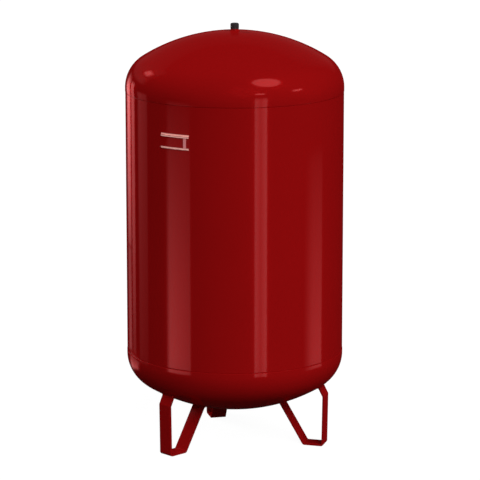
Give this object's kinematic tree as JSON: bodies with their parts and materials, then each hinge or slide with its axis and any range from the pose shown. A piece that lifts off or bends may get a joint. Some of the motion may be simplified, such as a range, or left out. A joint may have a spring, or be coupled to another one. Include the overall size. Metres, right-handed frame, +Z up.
{
  "type": "expansion tank",
  "caption": "Floor-standing red steel expansion tank for a heating system: dished vessel on bent strip legs, diaphragm inside, water socket below, capped gas valve on top.",
  "frame": {"origin": "on the floor at the tank's axis, midway between the three feet", "axes": "+Z up along the tank's axis, +X over one leg, -Y towards the front, with the plate holder to its left"},
  "size_m": [0.7899, 0.79, 1.5414],
  "materials": {
    "red_paint": "gloss",
    "bright_steel": "satin",
    "spring_steel": "bright",
    "brass": "machined",
    "black_rubber": "matt",
    "black_plastic": "satin",
    "gasket_plastic": "matt",
    "fibre": "matt"
  },
  "bodies": {
    "vessel": {"upper_head": "red_paint", "lower_head": "red_paint", "shell": "red_paint", "leg_right": "red_paint", "leg_rear": "red_paint", "leg_front_left": "red_paint", "top_rail": "bright_steel", "bottom_rail": "bright_steel", "end_stop": "bright_steel", "valve_boss": "red_paint", "valve_washer": "fibre", "valve_body": "brass", "core_barrel": "brass", "core_gasket": "gasket_plastic", "core_spring": "spring_steel", "cap_seal": "black_rubber", "water_socket": "red_paint", "port_guard": "bright_steel", "diaphragm": "black_rubber", "clamp_ring": "bright_steel"},
    "cap": {"valve_cap": "black_plastic"},
    "valve_pin": {"core_pin": "brass", "core_seal": "black_rubber"}
  },
  "joints": [
    {"name": "cap_lift", "type": "slide", "parent": "vessel", "child": "cap", "axis": [0, 0, 1], "range_m": [0, 0.06]},
    {"name": "pin_press", "type": "slide", "parent": "vessel", "child": "valve_pin", "axis": [0, 0, -1], "range_m": [0, 0.0015], "stiffness_N_per_m": 800, "springref_m": -0.002, "deforming": ["core_spring"]}
  ]
}
